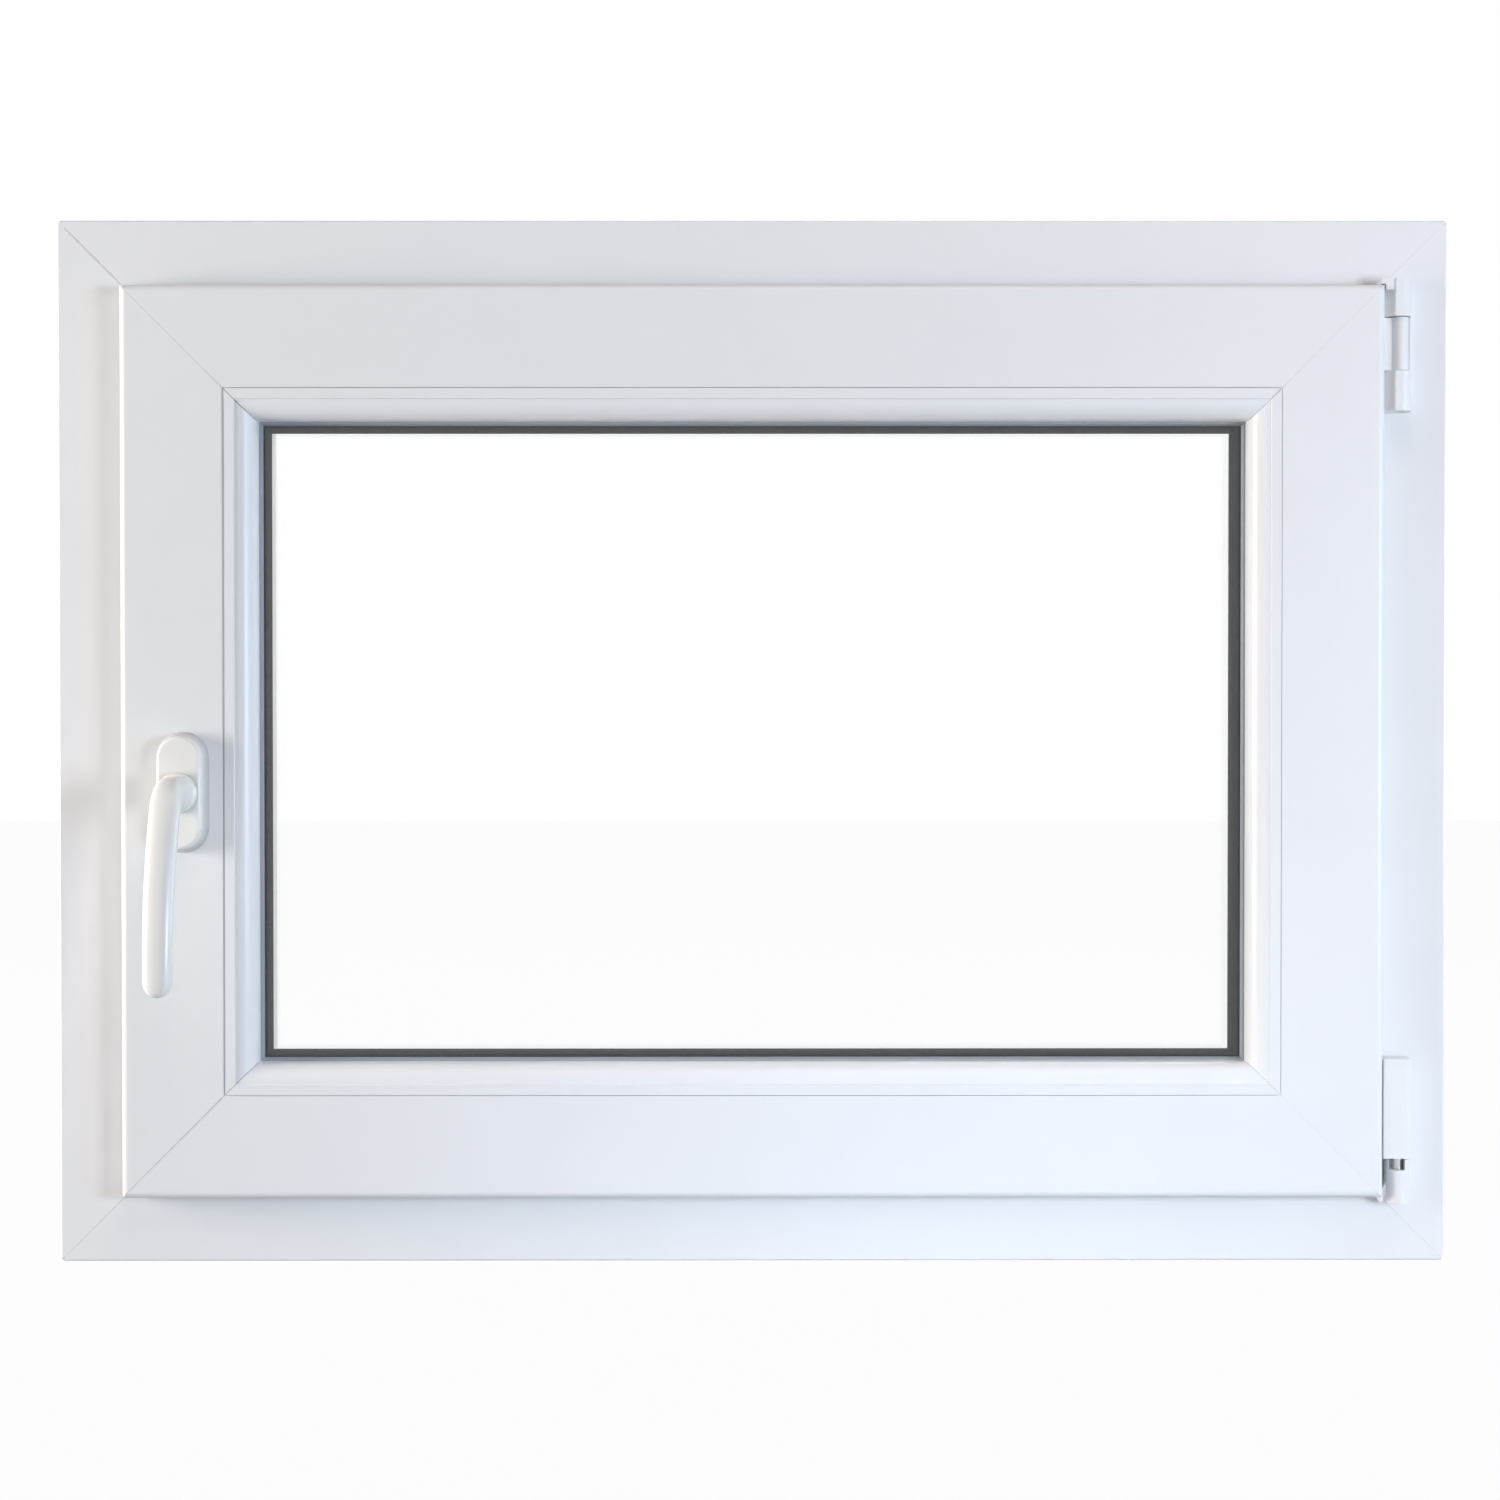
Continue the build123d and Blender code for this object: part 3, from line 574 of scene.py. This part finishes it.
# Lever: one zinc die casting, a round hub that turns in the rosette and a neck that bends down into
# the grip. The grip thins and narrows towards its round tip; same warm white lacquer as the rosette.
HUB_RADIUS = 0.0115
HUB_BACK = 0.0114
HUB_FRONT = 0.0184
HUB_ROUND = 0.0024
NECK_ROOT = 0.0150
NECK_HALF = 0.0095
FRONT_RUNS = (0.01185, 0.0242, 0.0978, 0.0126)
FRONT_TURNS = (0, 0, -66, -90, -90)
BACK_RUNS = (0.0122, 0.0163, 0.0817, 0.0126)
BACK_TURNS = (0, 0, -68.9, -90, -90)
GRIP_HALF_ROOT = 0.0092
GRIP_HALF_TIP = 0.0076
GRIP_TIP = 0.0085
GRIP_SQUARE = 2.5


def bent_line(start, runs, turns, steps):
    """Line in the side view, as (distance from the sash, height), drawn by its heading: the heading goes
    evenly from one turn to the next over each run, and the line is the sum of its small steps."""
    stations = np.concatenate([[0], np.cumsum(runs)])
    run = np.interp(steps, np.arange(len(stations)), stations)
    heading = np.radians(np.interp(steps, np.arange(len(turns)), turns))
    step = np.diff(run)[:, None]
    direction = np.stack([np.cos(heading), np.sin(heading)], axis=-1)
    middle = (direction[1:] + direction[:-1]) / 2
    return start + np.vstack([np.zeros(2), np.cumsum(step * middle, axis=0)])


def lever_grip(steps=240, around=72):
    """Grip between a front line and a back line of the side view: at each step a rounded rectangle spans
    from one to the other, its half width falling evenly, and both halves close in a round at the tip."""
    at = np.concatenate([np.linspace(0, 3, steps), 4 - np.cos(np.linspace(0, np.pi / 2, 40))[1:]])
    front = bent_line((NECK_ROOT, NECK_HALF), FRONT_RUNS, FRONT_TURNS, at)
    back = bent_line((NECK_ROOT, -NECK_HALF), BACK_RUNS, BACK_TURNS, at)
    middle = (front + back) / 2
    half = (front - back) / 2
    low = middle[-1, 1]
    closing = np.clip((low + GRIP_TIP - middle[:, 1]) / GRIP_TIP, 0, 1)
    half_width = np.interp(at, (0, 4), (GRIP_HALF_ROOT, GRIP_HALF_TIP)) * np.sqrt(1 - closing ** 2)
    half = half * np.sqrt(1 - closing ** 4)[:, None]
    turn = np.linspace(0, 2 * np.pi, around, endpoint=False)
    out = rounded_power(np.cos(turn), 2 / GRIP_SQUARE)
    over = rounded_power(np.sin(turn), 2 / GRIP_SQUARE)
    side = middle[:, None, :] + half[:, None, :] * out[None, :, None]
    x = HANDLE_X + half_width[:, None] * over
    grid = np.stack([x, ROSETTE_HIGH[1] - side[:, :, 0], HANDLE_Z + side[:, :, 1]], axis=-1)
    root = np.broadcast_to(grid[0].mean(axis=0), (1, around, 3))
    return np.concatenate([root, grid])


def lever_hub(around=96):
    """Round hub: a line from the axis out along the back, up the side, over a rounded edge and back to the
    axis, turned about the axis."""
    bend = np.linspace(0, np.pi / 2, 12)
    radius = np.concatenate([[0, HUB_RADIUS], HUB_RADIUS - HUB_ROUND * (1 - np.cos(bend)), [0]])
    out = np.concatenate([[HUB_BACK, HUB_BACK], HUB_FRONT - HUB_ROUND * (1 - np.sin(bend)), [HUB_FRONT]])
    turn = np.linspace(0, 2 * np.pi, around, endpoint=False)
    x = HANDLE_X + radius[:, None] * np.cos(turn)
    z = HANDLE_Z + radius[:, None] * np.sin(turn)
    y = ROSETTE_HIGH[1] - out[:, None] + np.zeros_like(x)
    return np.stack([x, y, z], axis=-1)


lever = surface_piece("lever", [lever_grip(), lever_hub()], lacquer, "handle")
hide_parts("handle_lever")


# Hinges: die-cast bearings and knuckles with a white coat, turning on zinc-plated steel pins.
# The lower one carries the sash, and a clipped cap covers its sleeve.
hinge_white = moulded("hinge_white", PVC_WHITE, 0.32, haze=0.04, bump=0.00002)
for name in ("stay_bearing", "stay_knuckle", "corner_hinge_cap", "corner_bearing"):
    dress(name, hinge_white)
zinc = moulded("zinc_plate", (0.55, 0.56, 0.58), 0.3, (1, 1, 0.05), tone=0.1, haze=0.08)
zinc.node_tree.nodes["Principled BSDF"].inputs["Metallic"].default_value = 1
for name in ("stay_pin", "corner_hinge_pin"):
    dress(name, zinc)


# Drain caps: two small moulded PVC hoods clipped over the drain slots on the outside of the sill.
# They are as white and half glossy as the bars.
for name in ("drain_cap_left", "drain_cap_right"):
    dress(name, pvc_across)


# Floor: a plain painted studio floor on which the window stands.
# Seen directly it is nearly white and keeps a faint shadow; for the light on the window it is a dull grey.
FLOOR_HALF = 6.0
FLOOR_SHADOW = 0.03
FLOOR_GREY = (0.4, 0.4, 0.4)
floor_corners = np.array([(-1, -1, 0), (1, -1, 0), (1, 1, 0), (-1, 1, 0)]) * FLOOR_HALF
floor_mesh = bpy.data.meshes.new("floor")
floor_mesh.from_pydata(floor_corners.tolist(), [], [(0, 1, 2, 3)])
floor = bpy.data.objects.new("floor", floor_mesh)
bpy.context.scene.collection.objects.link(floor)


def seen_directly(tree, link):
    """1 for camera, glossy and transmission rays, 0 for rays that carry light to the window."""
    path = tree.new("ShaderNodeLightPath")
    first = tree.new("ShaderNodeMath")
    first.operation = "MAXIMUM"
    link(path.outputs["Is Camera Ray"], first.inputs[0])
    link(path.outputs["Is Glossy Ray"], first.inputs[1])
    both = tree.new("ShaderNodeMath")
    both.operation = "MAXIMUM"
    link(first.outputs[0], both.inputs[0])
    link(path.outputs["Is Transmission Ray"], both.inputs[1])
    return both.outputs[0]


floor_paint = bpy.data.materials.new("studio_floor")
floor_paint.use_nodes = True
tree, link = floor_paint.node_tree.nodes, floor_paint.node_tree.links.new
tree["Principled BSDF"].inputs["Base Color"].default_value = (*FLOOR_GREY, 1)
tree["Principled BSDF"].inputs["Roughness"].default_value = 0.9
glow = tree.new("ShaderNodeEmission")
share = tree.new("ShaderNodeMath")
share.operation = "MULTIPLY"
share.inputs[1].default_value = 1 - FLOOR_SHADOW
link(seen_directly(tree, link), share.inputs[0])
mixed = tree.new("ShaderNodeMixShader")
link(share.outputs[0], mixed.inputs[0])
link(tree["Principled BSDF"].outputs[0], mixed.inputs[1])
link(glow.outputs[0], mixed.inputs[2])
link(mixed.outputs[0], tree["Material Output"].inputs["Surface"])
floor.data.materials.append(floor_paint)


# Light: a white surround with soft lamps, warm from the left and above and cool from the far right.
# Two weak ones in front lift the lower bars and are hidden from the panes, which would mirror them.
# Plain white ones behind the window light its outer side.
world = bpy.data.worlds.new("studio")
bpy.context.scene.world = world
world.use_nodes = True
tree, link = world.node_tree.nodes, world.node_tree.links.new
surround = tree["Background"]
surround.inputs["Color"].default_value = (0.97, 0.98, 1.0, 1)
surround.inputs["Strength"].default_value = 0.1
white = tree.new("ShaderNodeBackground")
white.inputs["Color"].default_value = (1, 1, 1, 1)
mixed = tree.new("ShaderNodeMixShader")
link(seen_directly(tree, link), mixed.inputs[0])
link(surround.outputs[0], mixed.inputs[1])
link(white.outputs[0], mixed.inputs[2])
link(mixed.outputs[0], tree["World Output"].inputs["Surface"])


def softbox(name, place, aim, size, power, colour):
    """Large square area lamp at a place, facing the aim point."""
    lamp = bpy.data.lights.new(name, "AREA")
    lamp.shape = "SQUARE"
    lamp.size = size
    lamp.energy = power
    lamp.color = colour
    box = bpy.data.objects.new(name, lamp)
    bpy.context.scene.collection.objects.link(box)
    line = np.subtract(place, aim)
    flat = math.hypot(line[0], line[1])
    box.location = place
    box.rotation_euler = (math.atan2(flat, line[2]), 0, math.atan2(line[0], -line[1]))
    return box


CENTRE = (0, 0, 0.3)
softbox("key_left", (-2.0, -0.45, 0.4), CENTRE, 0.7, 41.0, (1.0, 0.957, 0.90))
softbox("fill_right", (1.5, -1.5, 0.35), (0.1, 0, 0.2), 0.6, 20.2, (0.95, 0.96, 0.98))
softbox("far_right", (4.0, -2.0, 0.4), CENTRE, 0.8, 40, (0.12, 0.57, 1.0))
softbox("top", (0.2, -1.0, 2.0), (0.1, 0, 0.2), 1.0, 9.5, (1.0, 0.82, 0.77))
low_front = softbox("low_front", (0.9, -2.0, 1.1), (0.2, 0, 0.05), 0.6, 0.17, (0.95, 0.87, 1.0))
low_level = softbox("low_level", (0.5, -2.0, 0.35), (0.1, 0, -0.08), 0.5, 0.30, (0.70, 0.84, 1.0))
for low, spread in ((low_front, 0.6), (low_level, 0.35)):
    low.data.spread = spread
    low.visible_glossy = False
    low.visible_transmission = False
softbox("daylight_behind", (0.3, 1.6, 1.4), CENTRE, 1.2, 12, (0.95, 0.98, 1.0))
softbox("reveal_left", (-2.0, 1.0, 0.4), CENTRE, 0.6, 18, (1.0, 1.0, 1.0))
softbox("reveal_right", (2.0, 1.0, 0.4), CENTRE, 0.6, 18, (1.0, 1.0, 1.0))


# Camera: opposite the window's middle, a few millimetres left of it and 13 mm above it.
# It looks down by less than a degree, as in the photograph.
CAMERA_PLACE = (-0.00476, -1.4121, 0.3129)
CAMERA_DOWN = 0.0127
CAMERA_ROLL = 0.0003
CAMERA_TURN = -0.0024
camera_data = bpy.data.cameras.new("camera")
camera_data.sensor_width = 36
camera_data.lens = 57.3
camera = bpy.data.objects.new("camera", camera_data)
camera.location = CAMERA_PLACE
camera.rotation_euler = (math.pi / 2 - CAMERA_DOWN, CAMERA_ROLL, CAMERA_TURN)
bpy.context.scene.collection.objects.link(camera)
bpy.context.scene.camera = camera
bpy.context.scene.view_settings.view_transform = "Standard"
